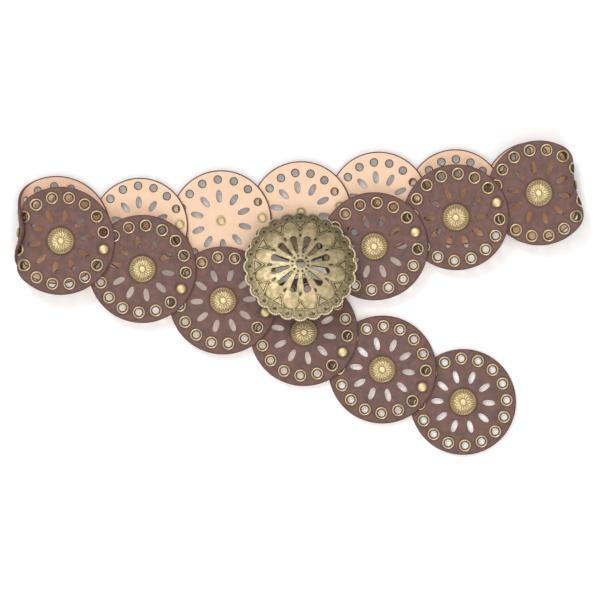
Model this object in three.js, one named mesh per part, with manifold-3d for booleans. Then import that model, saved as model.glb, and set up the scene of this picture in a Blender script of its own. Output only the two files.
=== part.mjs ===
// A concho belt, lying folded back on itself twice: sixteen round leather discs, riveted edge over edge into a
// chain, with a domed rivet in the middle of each and a large pierced concho at the buckle end.
// Millimetres, +Z up. The belt lies on the plane z = 0, with the origin under the middle of its outline.
import * as THREE from "three";
import { mergeVertices } from "three/addons/utils/BufferGeometryUtils.js";
import Module from "manifold-3d";

const wasm = await Module();
wasm.setup();

// Leather discs
const DISC_RADIUS = 35;
const LEATHER = 2;
const RIM_MARGIN = 6.8; // from the rim in to the circle that the link rivets sit on
const PLACE_RADIUS = DISC_RADIUS - RIM_MARGIN;
const PETALS = 10;
const PETAL_RADIUS = 17; // from the middle of the disc to the middle of a petal slot
const PETAL_LENGTH = 8.6;
const PETAL_WIDTH = 3.9;

// Rivets
const CONCHO_RADIUS = 8.7;
const CONCHO_DOME = 3.5;
const STUD_RADIUS = 3.3;
const STUD_DOME = 1.6;
const BACK_CAP_RADIUS = 3.3;
const BACK_CAP = 0.9;
const SHANK_RADIUS = 1.5;

// Clearances
const LEAF_GAP = 0.6; // between two discs riveted to each other
const SEAT_GAP = 0.3; // between metal and leather, at a rivet's caps
const SHANK_GAP = 0.5; // round a rivet's shank

// Buckle concho
const BUCKLE_RADIUS = 37;
const BUCKLE_SHEET = 1.5;
const BUCKLE_DOME = 7;
const BUCKLE_FLANGE = 5; // the flatter band inside the rim
const SCALLOPS = 24;
const SCALLOP_DEPTH = 1.6;
const SCALLOP_ARC = [[0, 0], [0.3, 0.88], [0.7, 0.88]]; // [how far along it, how far out of its depth]
const BUCKLE_SLOTS = 12;
const SLOT_INNER = 7.3; // a slot's ends, measured from the middle of the buckle
const SLOT_OUTER = 19.4;
const SLOT_INNER_WIDTH = 1.5;
const SLOT_OUTER_WIDTH = 3.7;
const SLOT_TIP = 0.5; // width of its outer end, as a share of the widest
const BUCKLE_HOLE = 2.7;
const BUCKLE_X = -0.5;
const BUCKLE_Y = 21.5;
const BUCKLE_TILT = 17; // degrees, its lower side in plan raised
const BUCKLE_CLEAR = 9.4; // from the face of the first disc at its rivet to the buckle's rim plane

// Tab and hook, soldered to the buckle's back
const TAB_WIDTH = 10;
const TAB_SHEET = 1.2;
const TAB_END = 5; // of the tab past its rivet
const TAB_REACH = 6.5; // from the rivet to the post, away from the buckle's middle
const POST_RADIUS = 2;
const HOOK_PLACE = 26; // the hook's post, from the middle of the buckle
const HOOK_DROP = 1.5; // from the rim plane down to the tongue
const HOOK_LENGTH = 12;
const HOOK_WIDTH = 5;

// How the belt lies. Angles are in degrees: 0 points along +X and 90 along +Y.
const FIRST_DISC_X = 47.3;
const FIRST_DISC_Y = 35.1;
const WAIST_DEPTH = 2.6; // how far a fold is drawn in at its rivet
const WAIST_WIDTH = 13;

// Each disc, from the buckle to the free end. heading: which way its two rivets lie, towards the free end.
// size and place: its radius and its rivet circle, as shares of the full ones. lift: how high the joint after
// it lies, from 0, on the plane, to 1, on top of the turned run.
const CHAIN = [
  { heading: 19, size: 1, place: 1, run: "upper", lift: 1.12 },
  { heading: 20, size: 0.98, place: 1, run: "upper", lift: 1.5 },
  { heading: 12.6, size: 0.97, place: 1, run: "upper", fold: "right" },
  { heading: 189, size: 0.92, place: 0.93, run: "turned" },
  { heading: 179.1, size: 0.89, place: 0.87, run: "turned" },
  { heading: 186.8, size: 0.92, place: 0.9, run: "turned" },
  { heading: 188.4, size: 0.935, place: 0.9, run: "turned" },
  { heading: 184.6, size: 0.935, place: 0.95, run: "turned" },
  { heading: 182.6, size: 0.89, place: 0.92, run: "turned" },
  { heading: 183, size: 1, place: 1, run: "turned", fold: "left" },
  { heading: -11, size: 1, place: 1, run: "upper", lift: 1.6 },
  { heading: -27, size: 1, place: 1, run: "upper", lift: 0.84 },
  { heading: -15.6, size: 1, place: 1, run: "upper", lift: 0.46 },
  { heading: -27.2, size: 1, place: 1, run: "upper", lift: 0 },
  { heading: -23.8, size: 1, place: 1, run: "upper", lift: 0 },
  { heading: -20, size: 0.98, place: 1, run: "upper" },
];
const FIRST_LIFT = 1; // of the joint between the buckle's tab and the first disc

// Each fold. out: which way it points. rise: how steeply the upper disc climbs towards it.
// rivet: where its rivet sits round the bend, from 0 at the top to 180 at the bottom.
const FOLDS = {
  right: { out: 11, rise: 8, rivet: 95 },
  left: { out: 175.5, rise: 5, rivet: 92 },
};

// The height of a dome at each share of its radius
const CONCHO_CROWN = [[1, 0.28], [0.62, 0.86]];
const STUD_CROWN = [[0.8, 0.7]];
const BUCKLE_CROWN = [[1, 0.1], [0.7, 0.56], [0.3, 0.95]];

// Facets
const RIM_SIDES = 28;
const CONCHO_SIDES = 10;
const STUD_SIDES = 6;
const HOLE_SIDES = 6;
const FLAT_COLUMNS = 7;
const BEND_COLUMNS = 8;
const BEND_ROWS = 4;
const BUCKLE_SIDES = 24;

const LEATHER_COLOUR = 0x7a5450;
const TAN_COLOUR = 0xf3c39c;
const BRASS_COLOUR = 0xb39a55;
const AGED_BRASS_COLOUR = 0x8d8054;

const leatherFace = new THREE.MeshStandardMaterial({ color: LEATHER_COLOUR, roughness: 0.75, metalness: 0 });
const leatherBack = new THREE.MeshStandardMaterial({ color: TAN_COLOUR, roughness: 0.85, metalness: 0 });
const brass = new THREE.MeshStandardMaterial({ color: BRASS_COLOUR, roughness: 0.42, metalness: 0.9 });
const agedBrass = new THREE.MeshStandardMaterial({
  color: AGED_BRASS_COLOUR, roughness: 0.5, metalness: 0.85,
});

const radians = THREE.MathUtils.degToRad;
const leafStep = LEATHER + LEAF_GAP; // from the middle of a disc's leather to that of the one riveted over it

// The heights of a joint, midway between its two discs, for each run.
const floorJoint = BACK_CAP + SEAT_GAP + LEATHER + LEAF_GAP / 2;
const turnedJoint = CONCHO_DOME + SEAT_GAP + LEATHER / 2;
const turnedTop = turnedJoint + leafStep / 2 + LEATHER / 2 + SEAT_GAP + BACK_CAP;
const upperJoint = turnedTop + SEAT_GAP + LEATHER + LEAF_GAP / 2;
const jointHeight = (lift) => THREE.MathUtils.lerp(floorJoint, upperJoint, lift);

// A closed solid of a geometry, in the place that the matrix gives it.
function toSolid(geometry, matrix = new THREE.Matrix4()) {
  const bare = new THREE.BufferGeometry();
  bare.setAttribute("position", geometry.getAttribute("position").clone());
  if (geometry.index) bare.setIndex(geometry.index.clone());
  bare.applyMatrix4(matrix);
  const merged = mergeVertices(bare, 1e-4);
  const corners = merged.index.array;
  const kept = [];
  for (let i = 0; i < corners.length; i += 3) {
    const [a, b, c] = [corners[i], corners[i + 1], corners[i + 2]];
    if (a !== b && b !== c && c !== a) kept.push(a, b, c);
  }
  const vertProperties = merged.attributes.position.array;
  return new wasm.Manifold(new wasm.Mesh({ numProp: 3, vertProperties, triVerts: new Uint32Array(kept) }));
}

function toGeometry(solid) {
  const mesh = solid.getMesh();
  const points = new Float32Array(mesh.vertProperties);
  const geometry = new THREE.BufferGeometry();
  geometry.setAttribute("position", new THREE.BufferAttribute(points, 3));
  geometry.setIndex(new THREE.BufferAttribute(new Uint32Array(mesh.triVerts), 1));
  geometry.computeVertexNormals();
  return geometry;
}

// A matrix whose X is along and whose Z is as near to face as it can be.
function placeAt(centre, along, face) {
  const x = along.clone().normalize();
  const y = face.clone().cross(x).normalize();
  const z = x.clone().cross(y);
  return new THREE.Matrix4().makeBasis(x, y, z).setPosition(centre);
}

const planar = (degrees) => new THREE.Vector3(Math.cos(radians(degrees)), Math.sin(radians(degrees)), 0);

// A direction in plan, climbing by an angle.
const climbing = (degrees, rise) => planar(degrees).multiplyScalar(Math.cos(rise)).setZ(Math.sin(rise));

function roundPoints(radius, sides, x = 0, y = 0) {
  return Array.from({ length: sides }, (_, i) => {
    const angle = (2 * Math.PI * (i + 0.5)) / sides;
    return new THREE.Vector2(x + radius * Math.cos(angle), y + radius * Math.sin(angle));
  });
}

function turnedPoints(points, degrees) {
  return points.map((point) => point.clone().rotateAround(new THREE.Vector2(), radians(degrees)));
}

// A revolved solid about Z, from a profile of [radius, height] pairs that runs from the bottom of the axis to
// its top.
function revolved(profile, sides) {
  const points = profile.map(([radius, height]) => new THREE.Vector2(radius, height));
  return new THREE.LatheGeometry(points, sides).rotateX(Math.PI / 2);
}

function cylinder(radius, bottom, top, sides) {
  return revolved([[0, bottom], [radius, bottom], [radius, top], [0, top]], sides);
}

// A pointed oval, from its inner tip to its outer one along X.
function petalPoints() {
  const tip = PETAL_LENGTH / 2;
  const shoulder = PETAL_LENGTH / 6;
  const side = PETAL_WIDTH / 2;
  const outline = [
    [-tip, 0],
    [-shoulder, -side],
    [shoulder, -side],
    [tip, 0],
    [shoulder, side],
    [-shoulder, side],
  ];
  return outline.map(([x, y]) => new THREE.Vector2(PETAL_RADIUS + x, y));
}

// A flat disc: X points at its far rivet and Z out of its face, with the leather's middle at z = 0.
function flatDisc(disc) {
  const shape = new THREE.Shape(roundPoints(disc.radius, RIM_SIDES));
  const petal = petalPoints().map((point) => point.clone().multiplyScalar(disc.size));
  const step = 360 / PETALS;
  for (let i = 0; i < PETALS; i += 1) {
    shape.holes.push(new THREE.Path(turnedPoints(petal, step * (i + 0.5))));
  }
  const hole = SHANK_RADIUS + SHANK_GAP;
  shape.holes.push(new THREE.Path(roundPoints(hole, HOLE_SIDES)));
  disc.rivetPlaces.forEach((side) => {
    shape.holes.push(new THREE.Path(roundPoints(hole, HOLE_SIDES, side * disc.place, 0)));
  });
  const leather = new THREE.ExtrudeGeometry(shape, { depth: LEATHER, bevelEnabled: false });
  return leather.translate(0, 0, -LEATHER / 2);
}

// How far a fold stands out at a distance from its rivet along the bend: nothing there, and its full swell
// further off.
const swell = (distance) => WAIST_DEPTH * (1 - Math.exp(-((distance / WAIST_WIDTH) ** 2)));

// A point of a folded disc. X points out of the fold and Z out of its face: flat up to the bend, which curls
// to the back.
function bentPoint(disc, x, y, height) {
  const start = disc.bendStart + swell(y - disc.foldRivet.y);
  if (x <= start) return new THREE.Vector3(x, y, height);
  const angle = (x - start) / disc.bendRadius;
  const reach = disc.bendRadius + height;
  return new THREE.Vector3(start + reach * Math.sin(angle), y, reach * Math.cos(angle) - disc.bendRadius);
}

// A folded disc as columns across its round outline, closed over its two sides and its rim. The middle row of
// points passes its fold's rivet, so that the waist is full depth there.
function foldedDisc(disc) {
  const opening = Math.acos(disc.bendStart / disc.radius);
  const flat = Array.from({ length: FLAT_COLUMNS }, (_, i) => {
    return Math.PI - ((Math.PI - opening) * i) / FLAT_COLUMNS;
  });
  const places = flat.map((angle) => disc.radius * Math.cos(angle));
  for (let i = 0; i <= BEND_COLUMNS; i += 1) {
    places.push(THREE.MathUtils.lerp(disc.bendStart, disc.radius, i / BEND_COLUMNS));
  }
  const last = places.length - 1;
  const columns = places.map((x, i) => {
    const half = Math.sqrt(Math.max(0, disc.radius ** 2 - x ** 2));
    if (i === 0 || i === last) return [[x, 0]];
    const middle = THREE.MathUtils.clamp(disc.foldRivet.y, -half / 2, half / 2);
    return Array.from({ length: BEND_ROWS + 1 }, (_, j) => {
      const share = (2 * j) / BEND_ROWS - 1;
      return [x, THREE.MathUtils.lerp(middle, Math.sign(share) * half, Math.abs(share))];
    });
  });
  const points = [];
  const corners = [];
  const first = columns.map((column) => {
    const start = points.length;
    for (const height of [LEATHER / 2, -LEATHER / 2]) {
      column.forEach(([x, y]) => points.push(bentPoint(disc, x, y, height)));
    }
    return start;
  });
  const corner = (i, j, side) => first[i] + side * columns[i].length + Math.min(j, columns[i].length - 1);
  const quad = (a, b, c, d) => corners.push(a, b, c, a, c, d);
  for (let i = 0; i < last; i += 1) {
    for (let j = 0; j < BEND_ROWS; j += 1) {
      quad(corner(i, j, 0), corner(i + 1, j, 0), corner(i + 1, j + 1, 0), corner(i, j + 1, 0));
      quad(corner(i, j, 1), corner(i, j + 1, 1), corner(i + 1, j + 1, 1), corner(i + 1, j, 1));
    }
    quad(corner(i, 0, 0), corner(i, 0, 1), corner(i + 1, 0, 1), corner(i + 1, 0, 0));
    const end = BEND_ROWS;
    quad(corner(i, end, 0), corner(i + 1, end, 0), corner(i + 1, end, 1), corner(i, end, 1));
  }
  const geometry = new THREE.BufferGeometry().setFromPoints(points).setIndex(corners);
  const through = cylinder(SHANK_RADIUS + SHANK_GAP, -LEATHER, LEATHER, HOLE_SIDES);
  const holes = [new THREE.Matrix4(), new THREE.Matrix4().setPosition(disc.flatRivet), disc.foldRivetPlace];
  return toGeometry(holes.reduce((solid, hole) => solid.subtract(toSolid(through, hole)), toSolid(geometry)));
}

// A rivet whose domed head starts at z = head and whose flat cap starts at z = cap. crown shapes the dome, as
// shares.
function rivet(headRadius, headHeight, head, cap, crown, sides) {
  return revolved([
    [0, cap - BACK_CAP],
    [BACK_CAP_RADIUS, cap - BACK_CAP],
    [BACK_CAP_RADIUS, cap],
    [SHANK_RADIUS, cap],
    [SHANK_RADIUS, head],
    [headRadius, head],
    ...crown.map(([radius, height]) => [headRadius * radius, head + headHeight * height]),
    [0, head + headHeight],
  ], sides);
}

// Lays the chain: the frame of each disc's leather, and the place of each rivet.
function layChain() {
  const discs = CHAIN.map((row) => ({
    ...row,
    radius: DISC_RADIUS * row.size,
    place: PLACE_RADIUS * row.place,
    up: row.run === "upper" ? 1 : -1,
    rivetPlaces: [-1, 1],
  }));
  discs[discs.length - 1].rivetPlaces = [-1];
  const height = (row) => (row.run === "turned" ? turnedJoint : jointHeight(row.lift ?? 0));

  // A disc lies over the next one on the face side, so its leather is half a step nearer to the face at that
  // joint.
  discs.forEach((disc, i) => {
    const before = i ? height(discs[i - 1]) : jointHeight(FIRST_LIFT);
    disc.near = before - (disc.up * leafStep) / 2;
    disc.far = height(disc) + (disc.up * leafStep) / 2;
    disc.slope = Math.asin((disc.far - disc.near) / (2 * disc.place));
    disc.slopeAlong = disc.heading;
    disc.z = (disc.near + disc.far) / 2;
  });
  const tail = discs[discs.length - 1];
  Object.assign(tail, { far: tail.near, slope: 0, z: tail.near });

  // At a fold both discs slope along the same line, which points out of the fold.
  discs.forEach((disc, i) => {
    if (!disc.fold) return;
    const fold = FOLDS[disc.fold];
    const pair = [disc, discs[i + 1]];
    const upper = pair.find((one) => one.run === "upper");
    const lower = pair.find((one) => one.run === "turned");
    const shingle = Math.asin(leafStep / (2 * lower.place));
    upper.slope = radians(fold.rise);
    lower.slope = lower === pair[0] ? -shingle : shingle;
    pair.forEach((one) => {
      const outward = one === pair[0] ? 1 : -1; // which of its rivets is on the fold
      const turn = radians(one.heading - fold.out) + (outward < 0 ? Math.PI : 0);
      one.slopeAlong = fold.out;
      one.rivetOut = one.place * Math.cos(turn);
      one.rivetAside = one.place * Math.sin(turn);
      const joint = outward > 0 ? one.near : one.far;
      one.z = joint + one.rivetOut * Math.sin(one.slope);
    });
    // The two bends share one centre line. Their radii follow from the heights that they have to join.
    const rivetAngle = radians(fold.rivet);
    const [rise, dip] = [upper.slope, lower.slope];
    const outer = upper === pair[0] ? -1 : 1;
    const step = outer * leafStep;
    const [upperTurn, lowerTurn] = [rivetAngle + rise, Math.PI - dip - rivetAngle];
    const drop =
      lower.z - upper.z - upper.rivetOut * Math.sin(rise) + step * Math.cos(dip) +
      (lower.rivetOut - step * lowerTurn) * Math.sin(dip);
    const perRadius =
      -upperTurn * Math.sin(rise) - Math.cos(rise) - Math.cos(dip) + lowerTurn * Math.sin(dip);
    upper.bendRadius = drop / perRadius;
    lower.bendRadius = upper.bendRadius + step;
    upper.bendStart = upper.rivetOut - upper.bendRadius * upperTurn;
    lower.bendStart = lower.rivetOut - lower.bendRadius * lowerTurn;
  });

  // Places in plan, one disc after the other.
  discs.forEach((disc, i) => {
    const before = discs[i - 1];
    if (!before) {
      disc.centre = new THREE.Vector3(FIRST_DISC_X, FIRST_DISC_Y, disc.z);
    } else if (before.fold) {
      const out = planar(before.slopeAlong);
      const aside = new THREE.Vector3(-out.y, out.x, 0);
      const toAxis = (one) => {
        const sign = one.run === "upper" ? 1 : -1;
        return one.bendStart * Math.cos(one.slope) + sign * one.bendRadius * Math.sin(one.slope);
      };
      disc.centre = before.centre.clone().setZ(disc.z)
        .addScaledVector(out, toAxis(before) - toAxis(disc))
        .addScaledVector(aside, before.rivetAside - disc.rivetAside);
    } else {
      disc.centre = before.farRivet.clone().setZ(disc.z)
        .addScaledVector(planar(disc.heading), disc.place * Math.cos(disc.slope));
    }
    const along = climbing(disc.slopeAlong, disc.slope);
    const aside = new THREE.Vector3(0, 0, 1).cross(planar(disc.slopeAlong));
    const face = new THREE.Vector3().crossVectors(along, aside).multiplyScalar(disc.up);
    disc.frame = placeAt(disc.centre, along, face);
    const onFold = (degrees) => {
      const turn = radians(degrees - disc.slopeAlong);
      return along.clone().multiplyScalar(Math.cos(turn)).addScaledVector(aside, Math.sin(turn));
    };
    disc.farRivet = disc.centre.clone().addScaledVector(onFold(disc.heading), disc.place);
    disc.nearRivet = disc.centre.clone().addScaledVector(onFold(disc.heading), -disc.place);
    disc.face = face;
    if (disc.bendRadius) {
      const local = (point) => point.clone().applyMatrix4(disc.frame.clone().invert());
      const isFirst = Boolean(disc.fold);
      disc.foldRivet = local(isFirst ? disc.farRivet : disc.nearRivet);
      disc.flatRivet = local(isFirst ? disc.nearRivet : disc.farRivet);
      const angle = (disc.foldRivet.x - disc.bendStart) / disc.bendRadius;
      const outward = new THREE.Vector3(Math.sin(angle), 0, Math.cos(angle));
      const at = bentPoint(disc, disc.foldRivet.x, disc.foldRivet.y, 0);
      disc.foldRivetPlace = placeAt(at, new THREE.Vector3(0, 1, 0), outward);
    }
  });
  return discs;
}

// The frame of the rivet that joins two discs: Z points out of the face, with z = 0 midway between their
// leathers.
function jointFrame(disc, next) {
  if (disc.fold) {
    const [a, b] = [disc, next].map((one) => one.foldRivetPlace.clone().premultiply(one.frame));
    const [onDisc, onNext] = [a, b].map((place) => new THREE.Vector3().setFromMatrixPosition(place));
    const middle = onDisc.lerp(onNext, 0.5);
    const [along, outward] = [new THREE.Vector3(), new THREE.Vector3()];
    a.extractBasis(along, new THREE.Vector3(), outward);
    return placeAt(middle, along, outward);
  }
  const along = disc.farRivet.clone().sub(disc.nearRivet).add(next.farRivet).sub(next.nearRivet);
  return placeAt(disc.farRivet.clone().lerp(next.nearRivet, 0.5), along, disc.face.clone().add(next.face));
}

// The buckle's outer surface, from its rim plane up, as [radius, height] pairs from the rim to the crown.
function buckleProfile() {
  const shoulder = BUCKLE_RADIUS - BUCKLE_FLANGE;
  return [
    [BUCKLE_RADIUS + SCALLOP_DEPTH, 0],
    ...BUCKLE_CROWN.map(([radius, height]) => [shoulder * radius, BUCKLE_DOME * height]),
  ];
}

// The buckle in its own frame: Z points out of its face, and z = 0 is the underside of its rim.
function buckleShell() {
  const outer = buckleProfile();
  const top = outer.map(([radius, height]) => [radius, height + BUCKLE_SHEET]);
  const crown = [0, BUCKLE_DOME];
  const sheet = toSolid(revolved([
    crown, ...[...outer].reverse(), ...top, [0, BUCKLE_DOME + BUCKLE_SHEET],
  ], BUCKLE_SIDES));
  const reach = BUCKLE_DOME + 2 * BUCKLE_SHEET;
  const through = (points) => {
    const cut = new THREE.ExtrudeGeometry(new THREE.Shape(points), { depth: 2 * reach, bevelEnabled: false });
    return toSolid(cut.translate(0, 0, -reach));
  };
  // Each scallop is an arc that bulges out between two notches.
  const rim = [];
  for (let i = 0; i < SCALLOPS; i += 1) {
    SCALLOP_ARC.forEach(([along, out]) => {
      const angle = (2 * Math.PI * (i + along - 0.5)) / SCALLOPS + Math.PI / 2;
      const radius = BUCKLE_RADIUS - SCALLOP_DEPTH * (1 - out);
      rim.push(new THREE.Vector2(radius * Math.cos(angle), radius * Math.sin(angle)));
    });
  }
  const [inner, end] = [SLOT_INNER_WIDTH / 2, SLOT_OUTER_WIDTH / 2];
  const slot = [
    [SLOT_INNER, -inner],
    [SLOT_OUTER - end, -end],
    [SLOT_OUTER, -end * SLOT_TIP],
    [SLOT_OUTER, end * SLOT_TIP],
    [SLOT_OUTER - end, end],
    [SLOT_INNER, inner],
  ].map(([x, y]) => new THREE.Vector2(x, y));
  let solid = sheet.intersect(through(rim)).subtract(through(roundPoints(BUCKLE_HOLE, HOLE_SIDES)));
  for (let i = 0; i < BUCKLE_SLOTS; i += 1) {
    solid = solid.subtract(through(turnedPoints(slot, (360 * (i + 0.5)) / BUCKLE_SLOTS)));
  }
  return solid;
}

// The buckle with the tab that the first disc is riveted to and the hook, all one soldered piece, in the
// belt's frame.
function buckle(first) {
  const tilt = radians(BUCKLE_TILT);
  const rivetAt = first.nearRivet;
  const rimHeight = rivetAt.z + LEATHER / 2 + BUCKLE_CLEAR;
  const face = new THREE.Vector3(0, Math.sin(tilt), Math.cos(tilt));
  const centre = new THREE.Vector3(BUCKLE_X, BUCKLE_Y, 0);
  centre.z = rimHeight + (rivetAt.y - centre.y) * Math.tan(tilt);
  const frame = placeAt(centre, new THREE.Vector3(1, 0, 0), face);

  // Everything under the outer surface, which ends the posts inside the sheet.
  const depth = BUCKLE_RADIUS;
  const under = toSolid(revolved([
    [0, -depth],
    [BUCKLE_RADIUS, -depth],
    ...buckleProfile().map(([radius, height]) => {
      return [Math.min(radius, BUCKLE_RADIUS), height + BUCKLE_SHEET / 2];
    }),
    [0, BUCKLE_DOME + BUCKLE_SHEET / 2],
  ], BUCKLE_SIDES), frame);

  const alongDisc = climbing(first.heading, first.slope);
  const tabFrame = placeAt(rivetAt, alongDisc, first.face);
  const tabBottom = LEATHER / 2 + LEAF_GAP;
  const tabLength = TAB_END + TAB_REACH + POST_RADIUS;
  const tab = new THREE.BoxGeometry(tabLength, TAB_WIDTH, TAB_SHEET);
  tab.translate(tabLength / 2 - TAB_END, 0, tabBottom + TAB_SHEET / 2);
  const hole = cylinder(SHANK_RADIUS + SHANK_GAP, 0, tabBottom + 2 * TAB_SHEET, HOLE_SIDES);
  const tall = LEATHER + BUCKLE_CLEAR + BUCKLE_DOME + BUCKLE_SHEET;
  const tabPost = cylinder(POST_RADIUS, tabBottom + TAB_SHEET / 2, tall, HOLE_SIDES);
  tabPost.translate(TAB_REACH, 0, 0);

  const hookFrame = frame.clone().multiply(new THREE.Matrix4().makeRotationZ(Math.PI));
  const tongue = new THREE.BoxGeometry(HOOK_LENGTH, HOOK_WIDTH, TAB_SHEET);
  tongue.translate(HOOK_PLACE + POST_RADIUS - HOOK_LENGTH / 2, 0, -HOOK_DROP);
  const hookPost = cylinder(POST_RADIUS, -HOOK_DROP, tall, HOLE_SIDES).translate(HOOK_PLACE, 0, 0);

  const posts = toSolid(tabPost, tabFrame).add(toSolid(hookPost, hookFrame)).intersect(under);
  return toSolid(toGeometry(buckleShell()), frame)
    .add(posts)
    .add(toSolid(tab, tabFrame))
    .add(toSolid(tongue, hookFrame))
    .subtract(toSolid(hole, tabFrame));
}

// The rivet of a joint. On a fold its head clears the waist and its cap sits down in the hollow of the bend.
function jointRivet(disc, next) {
  const half = (leafStep + LEATHER) / 2 + SEAT_GAP;
  let [head, cap] = [half, half];
  if (disc.fold) {
    const hollow = Math.min(disc.bendRadius, next.bendRadius) - LEATHER / 2;
    head += swell(STUD_RADIUS);
    cap += hollow - Math.sqrt(hollow ** 2 - BACK_CAP_RADIUS ** 2);
  }
  return toGeometry(toSolid(rivet(STUD_RADIUS, STUD_DOME, head, -cap, STUD_CROWN, STUD_SIDES)));
}

const belt = new THREE.Group();

function addPiece(name, geometry, material, frame = new THREE.Matrix4()) {
  const mesh = new THREE.Mesh(geometry, material);
  mesh.name = name;
  frame.decompose(mesh.position, mesh.quaternion, mesh.scale);
  belt.add(mesh);
}

const twoDigits = (number) => String(number).padStart(2, "0");
const discs = layChain();
const seat = LEATHER / 2 + SEAT_GAP;
const conchoForm = rivet(CONCHO_RADIUS, CONCHO_DOME, seat, -seat, CONCHO_CROWN, CONCHO_SIDES);
const concho = toGeometry(toSolid(conchoForm));

discs.forEach((disc, i) => {
  const number = twoDigits(i + 1);
  const material = disc.up > 0 ? leatherFace : leatherBack;
  const leather = disc.bendRadius ? foldedDisc(disc) : toGeometry(toSolid(flatDisc(disc)));
  addPiece(`leather_disc_${number}`, leather, material, disc.frame);
  addPiece(`centre_concho_${number}`, concho, brass, disc.frame);
  const next = discs[i + 1];
  if (next) addPiece(`link_rivet_${number}`, jointRivet(disc, next), brass, jointFrame(disc, next));
});

// The first rivet joins the tab, over the first disc, to that disc.
const tabHead = LEATHER / 2 + LEAF_GAP + TAB_SHEET + SEAT_GAP;
const tabRivet = rivet(STUD_RADIUS, STUD_DOME, tabHead, -seat, STUD_CROWN, STUD_SIDES);
const firstPlace = placeAt(discs[0].nearRivet, climbing(discs[0].heading, discs[0].slope), discs[0].face);
addPiece("link_rivet_00", toGeometry(toSolid(tabRivet)), brass, firstPlace);
addPiece("buckle_concho", toGeometry(buckle(discs[0])), agedBrass);

// The origin goes under the middle of the outline, on the plane that the belt lies on.
const box = new THREE.Box3().setFromObject(belt, true);
const middle = box.getCenter(new THREE.Vector3());
belt.position.set(-middle.x, -middle.y, -box.min.z);

export default belt;
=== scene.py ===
import math
from collections import namedtuple

import bpy
from bpy.props import FloatProperty, FloatVectorProperty, IntProperty, PointerProperty
from mathutils import Matrix, Vector


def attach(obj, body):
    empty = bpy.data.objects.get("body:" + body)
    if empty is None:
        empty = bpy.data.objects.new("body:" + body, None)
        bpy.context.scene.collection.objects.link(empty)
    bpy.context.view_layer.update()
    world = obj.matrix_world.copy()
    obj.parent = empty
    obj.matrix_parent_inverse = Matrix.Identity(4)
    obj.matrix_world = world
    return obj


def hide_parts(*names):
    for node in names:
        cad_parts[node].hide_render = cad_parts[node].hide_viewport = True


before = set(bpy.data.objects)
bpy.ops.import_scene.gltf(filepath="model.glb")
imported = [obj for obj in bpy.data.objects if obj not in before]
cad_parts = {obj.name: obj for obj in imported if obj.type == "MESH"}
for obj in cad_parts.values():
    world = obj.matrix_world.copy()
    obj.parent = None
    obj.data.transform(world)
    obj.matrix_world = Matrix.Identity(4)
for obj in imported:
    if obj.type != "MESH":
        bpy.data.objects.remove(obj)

bl_info = {
    "name": "Concho belt",
    "version": (1, 0, 0),
    "blender": (4, 5, 0),
    "location": "View3D > Sidebar > Belt",
    "description": "Builds a belt of pierced leather discs with domed rivets and a pierced buckle concho",
    "category": "Object",
}

MM = 0.001

# The lie of each disc, from the buckle to the free end. x, y, z: the middle of its leather, in mm. along and
# slope: the direction in plan that it slopes along, and how steeply. heading: that of its rivets in plan.
# face: 1 for face up, -1 for face down. size and place: the shares of its outline and its rivet circle.
Disc = namedtuple("Disc", "x y z along slope heading face size place")
DISCS = (
    Disc(48.633, 33.351, 11.410, 19, 3.546, 19, 1, 1, 1),
    Disc(101.622, 52.115, 13.260, 20, 5.506, 20, 1, 0.98, 1),
    Disc(155.252, 67.807, 17.289, 11, 8, 12.6, 1, 0.97, 1),
    Disc(151.592, 68.830, 4.865, 11, 2.841, 189, -1, 0.92, 0.93),
    Disc(101.224, 65.118, 4.866, 179.1, -3.037, 179.1, -1, 0.89, 0.87),
    Disc(51.559, 62.502, 4.866, 186.8, -2.936, 186.8, -1, 0.92, 0.9),
    Disc(1.315, 55.798, 4.866, 188.4, -2.936, 188.4, -1, 0.935, 0.9),
    Disc(-50.432, 49.949, 4.866, 184.6, -2.781, 184.6, -1, 0.935, 0.95),
    Disc(-102.989, 46.628, 4.866, 182.6, -2.872, 182.6, -1, 0.89, 0.92),
    Disc(-157.005, 43.978, 4.877, 175.5, -2.642, 183, -1, 1, 1),
    Disc(-154.030, 36.849, 19.148, 175.5, 5, -11, 1, 1, 1),
    Disc(-101.364, 18.693, 12.594, -27, -3.074, -27, 1, 1, 1),
    Disc(-49.113, -1.675, 8.376, -15.6, -0.215, -15.6, 1, 1, 1),
    Disc(3.127, -22.147, 5.268, -27.2, -0.817, -27.2, 1, 1, 1),
    Disc(53.980, -46.404, 3.566, -23.8, 2.642, -23.8, 1, 1, 1),
    Disc(106.254, -67.417, 2.266, -20, 0, -20, 1, 0.98, 1),
)

# The bend of each disc on a fold, in mm. start: from its middle to the bend. radius: to the middle of the
# leather. rivet: how far aside the fold's rivet sits.
Bend = namedtuple("Bend", "start radius rivet")
BENDS = {
    3: Bend(13.712, 8.053, 0.787),
    4: Bend(18.391, 5.453, 0.915),
    10: Bend(12.982, 9.467, -3.681),
    11: Bend(16.393, 6.867, -3.192),
}
# A fold is drawn in at its rivet: by how much, and over which width, in mm
WAIST_DEPTH = 2.6
WAIST_WIDTH = 13
# The strips that bent leather is cut into, round the bend and across it, in mm
BEND_STEP = 1.0
WAIST_STEP = 3.0

# The gap between two discs at a link rivet, in mm
LEAF_GAP = 0.6
# The places round a disc's rim, the slots round its middle, and the first slot's turn in degrees
PLACES = 16
PETALS = 10
PETAL_TURN = 18
# How many times as long as wide the round ends of a slot are
PETAL_STRETCH = 2.05

# The modelling of the discs, in metres and radians
DISC_SIDES = 128
PUNCH_SIDES = 28
PETAL_SIDES = 24
PUNCH_DEPTH = 0.01
CUT_BEVEL = 0.0002
CUT_ANGLE = math.radians(50)
# Leather is painted where the Z of its normal is under this
FLAT_NORMAL = 0.95

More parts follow.
